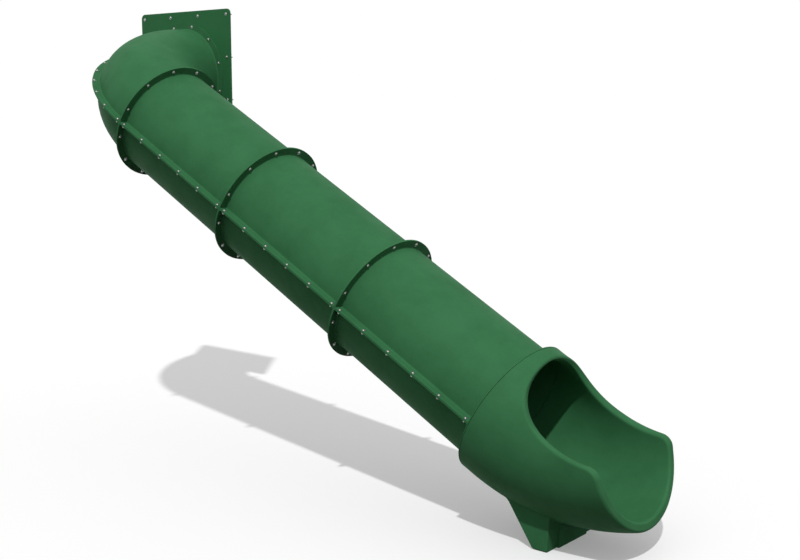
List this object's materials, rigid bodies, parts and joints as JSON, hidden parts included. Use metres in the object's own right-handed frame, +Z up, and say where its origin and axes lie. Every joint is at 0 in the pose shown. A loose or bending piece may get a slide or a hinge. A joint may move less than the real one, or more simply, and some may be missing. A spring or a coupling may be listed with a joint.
{
  "type": "tube slide",
  "caption": "Enclosed playground tube slide: a square deck plate opens into a quarter-turn elbow, a straight sloping tube of bolted half shells and an open exit chute with a moulded foot.",
  "frame": {"origin": "centre of the entry opening, on the deck side of the entry plate", "axes": "+X down the slide in plan, +Y out of the plate's back into the deck, +Z up"},
  "size_m": [5.081, 1.1815, 3.2023],
  "materials": {
    "moulded_plastic": "satin green rotationally moulded polyethylene, coloured all through, with a faint mould texture",
    "sheet_plastic": "matte green polyethylene sheet with a routed edge",
    "plated_steel": "light grey plated steel fasteners",
    "insert_brass": "plain turned brass, hidden in the moulding"
  },
  "bodies": {
    "root": {"entry_plate": "sheet_plastic", "elbow_upper": "moulded_plastic", "elbow_lower": "moulded_plastic", "straight_1_upper": "moulded_plastic", "straight_1_lower": "moulded_plastic", "straight_2_upper": "moulded_plastic", "straight_2_lower": "moulded_plastic", "straight_3_upper": "moulded_plastic", "straight_3_lower": "moulded_plastic", "exit_section": "moulded_plastic", "deck_bolts": "plated_steel", "deck_washers": "plated_steel", "entry_ring_bolts": "plated_steel", "entry_ring_washers": "plated_steel", "entry_ring_nuts": "plated_steel", "elbow_outer_seam_bolts": "plated_steel", "elbow_outer_seam_washers": "plated_steel", "elbow_outer_seam_nuts": "plated_steel", "elbow_inner_seam_bolts": "plated_steel", "elbow_inner_seam_washers": "plated_steel", "elbow_inner_seam_nuts": "plated_steel", "ring_joint_1_bolts": "plated_steel", "ring_joint_1_washers": "plated_steel", "ring_joint_1_nuts": "plated_steel", "ring_joint_2_bolts": "plated_steel", "ring_joint_2_washers": "plated_steel", "ring_joint_2_nuts": "plated_steel", "ring_joint_3_bolts": "plated_steel", "ring_joint_3_washers": "plated_steel", "ring_joint_3_nuts": "plated_steel", "straight_1_seam_bolts": "plated_steel", "straight_1_seam_washers": "plated_steel", "straight_1_seam_nuts": "plated_steel", "straight_2_seam_bolts": "plated_steel", "straight_2_seam_washers": "plated_steel", "straight_2_seam_nuts": "plated_steel", "straight_3_seam_bolts": "plated_steel", "straight_3_seam_washers": "plated_steel", "straight_3_seam_nuts": "plated_steel", "exit_joint_bolts": "plated_steel", "exit_joint_washers": "plated_steel", "exit_joint_inserts": "insert_brass"}
  },
  "joints": []
}
